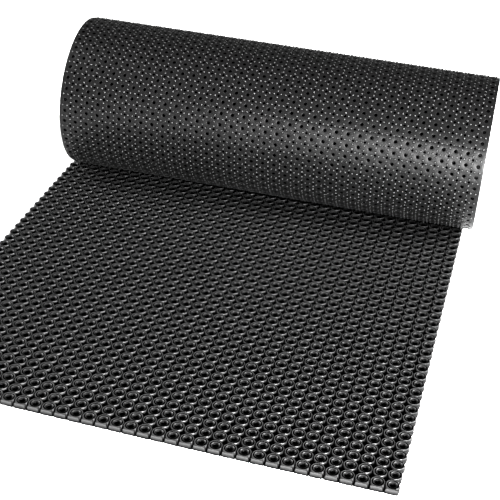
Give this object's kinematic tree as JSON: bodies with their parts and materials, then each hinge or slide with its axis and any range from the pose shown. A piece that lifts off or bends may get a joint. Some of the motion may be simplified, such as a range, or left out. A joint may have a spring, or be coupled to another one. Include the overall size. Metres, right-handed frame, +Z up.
{
  "type": "rubber ring mat",
  "caption": "Black rubber ring mat in a roll, its free end unrolled flat on the floor, ring side up, the studded underside showing on the roll.",
  "frame": {"origin": "on the floor, under the middle of the whole piece's box", "axes": "+X across the mat along the roll's axis, the free end points to -Y and the roll lies to +Y, +Z up"},
  "size_m": [1.0466, 1.181, 0.374],
  "materials": {
    "rubber": "matt moulded black rubber with a slight sheen"
  },
  "bodies": {
    "root": {"ring_mat": "rubber"}
  },
  "joints": []
}
